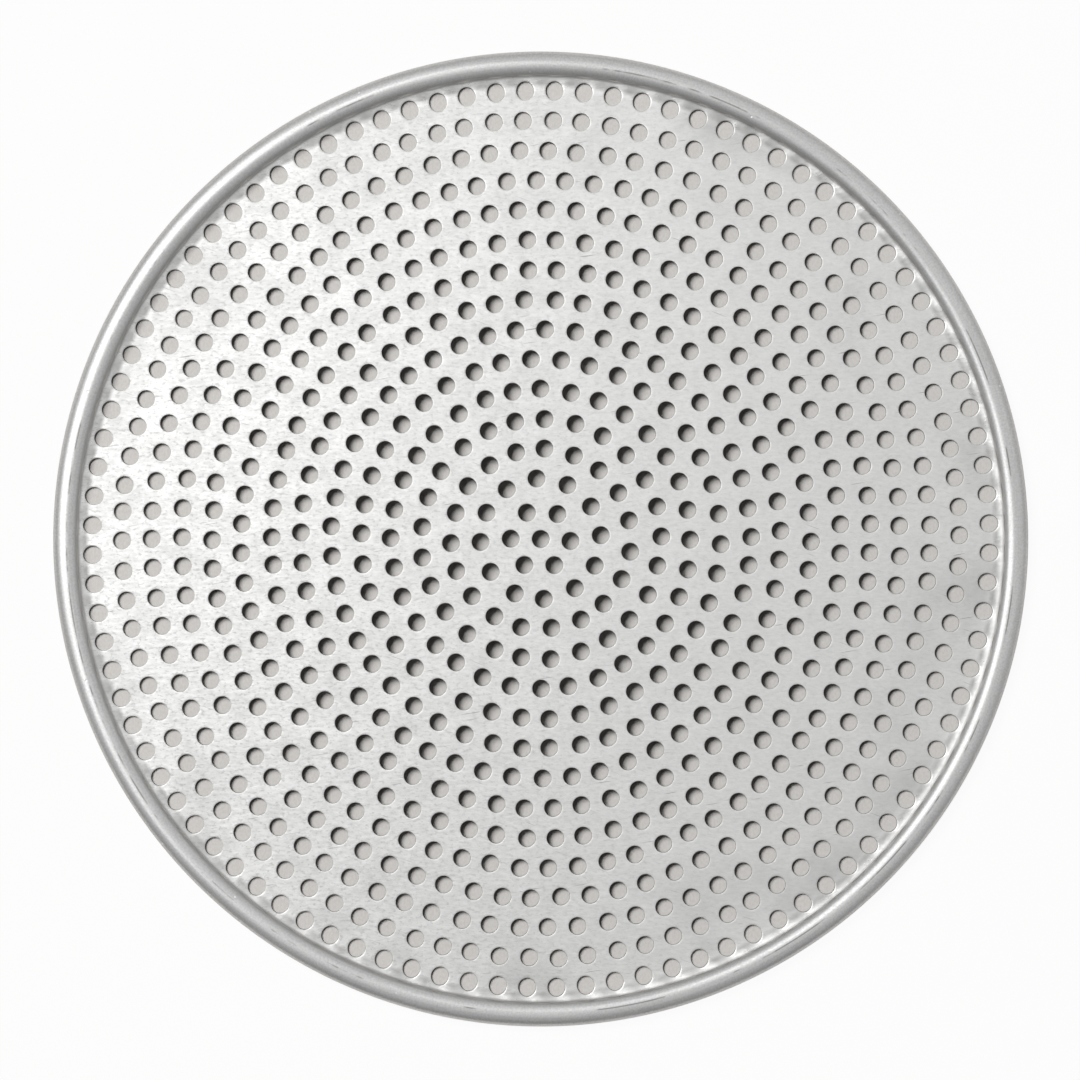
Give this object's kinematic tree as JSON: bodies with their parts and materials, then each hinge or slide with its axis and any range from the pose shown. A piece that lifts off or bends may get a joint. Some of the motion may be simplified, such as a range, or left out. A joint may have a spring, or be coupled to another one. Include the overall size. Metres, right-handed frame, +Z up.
{
  "type": "pizza screen",
  "caption": "Round, shallow aluminium pizza screen: a thin sheet punched with rings of round holes and held in a rolled rim, for baking and cooling pizza.",
  "frame": {"origin": "centre of the plane that the rim rests on", "axes": "+Z up, out of the side that holds the pizza; +X and +Y to the picture's right and top"},
  "size_m": [0.305, 0.305, 0.006],
  "materials": {
    "sheet": "satin, with faint rolling marks",
    "hoop": "satin, with fine scuffs along the crest",
    "wire": "drawn and zinc coated"
  },
  "bodies": {
    "root": {"sheet_middle": "sheet", "sheet_border": "sheet", "rolled_hoop": "hoop", "rim_wire": "wire"}
  },
  "joints": []
}
